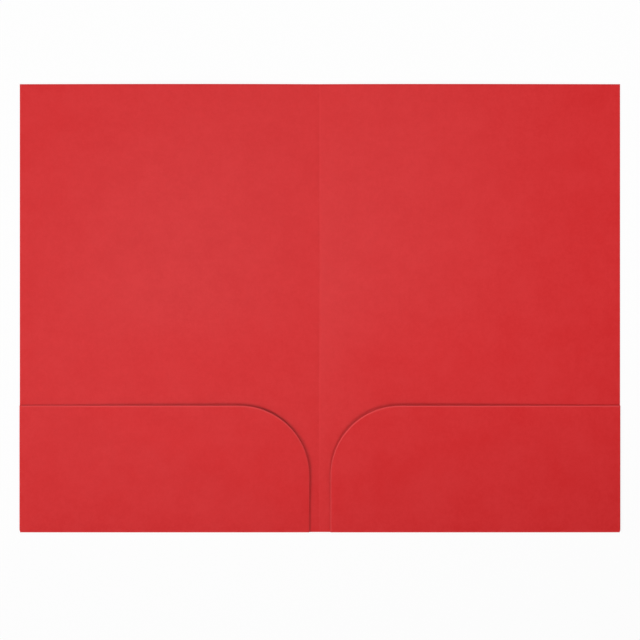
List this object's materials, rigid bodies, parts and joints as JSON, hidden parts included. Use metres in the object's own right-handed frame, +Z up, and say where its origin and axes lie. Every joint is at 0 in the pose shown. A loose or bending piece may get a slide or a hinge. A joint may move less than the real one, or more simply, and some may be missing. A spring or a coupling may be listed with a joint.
{
  "type": "two-pocket folder",
  "caption": "Paper presentation folder lying open: covers joined by a scored spine, each with a turned-up, round-cornered pocket glued at its outer edge for loose sheets.",
  "frame": {"origin": "on the table under the middle of the spine: centre of the bounding box's bottom", "axes": "+X across the open folder to the right cover, +Y up the page away from the pockets, +Z up out of the inside"},
  "size_m": [0.3064, 0.2286, 0.002],
  "materials": {
    "red_card": "smooth uncoated cover stock, dyed through",
    "dried_glue": "dried film of glue"
  },
  "bodies": {
    "left_panel": {"left_cover": "red_card", "left_bottom_fold": "red_card", "left_pocket_panel": "red_card", "left_side_fold": "red_card", "left_glue_tab": "red_card", "left_glue_strip": "dried_glue"},
    "left_pocket_corner": {"left_pocket_free_corner": "red_card"},
    "spine": {"spine_strip": "red_card"},
    "right_panel": {"right_cover": "red_card", "right_bottom_fold": "red_card", "right_pocket_panel": "red_card", "right_side_fold": "red_card", "right_glue_tab": "red_card", "right_glue_strip": "dried_glue"},
    "right_pocket_corner": {"right_pocket_free_corner": "red_card"}
  },
  "joints": [
    {"name": "spine_fold", "type": "hinge", "parent": "left_panel", "child": "right_panel", "pos_m": [0, 0, 0.00222], "axis": [0, 1, 0], "range_deg": [-179.5, 0]},
    {"name": "spine_turn", "type": "hinge", "parent": "left_panel", "child": "spine", "pos_m": [-0.0019, 0, 0.00032], "axis": [0, 1, 0], "range_deg": [-90, 0]},
    {"name": "left_pocket_lift", "type": "hinge", "parent": "left_panel", "child": "left_pocket_corner", "pos_m": [-0.1529, -0.0496, 0.00102], "axis": [0.9169, -0.399, 0], "range_deg": [-1.2, 14], "stiffness_Nm_per_rad": 0.03, "deforming": ["left_pocket_free_corner"]},
    {"name": "right_pocket_lift", "type": "hinge", "parent": "right_panel", "child": "right_pocket_corner", "pos_m": [0.1529, -0.0496, 0.00102], "axis": [0.9169, 0.399, 0], "range_deg": [-1.2, 14], "stiffness_Nm_per_rad": 0.03, "deforming": ["right_pocket_free_corner"]}
  ],
  "couplings": [
    {"joint": "spine_turn", "follows": "spine_fold", "ratio": 0.5}
  ]
}
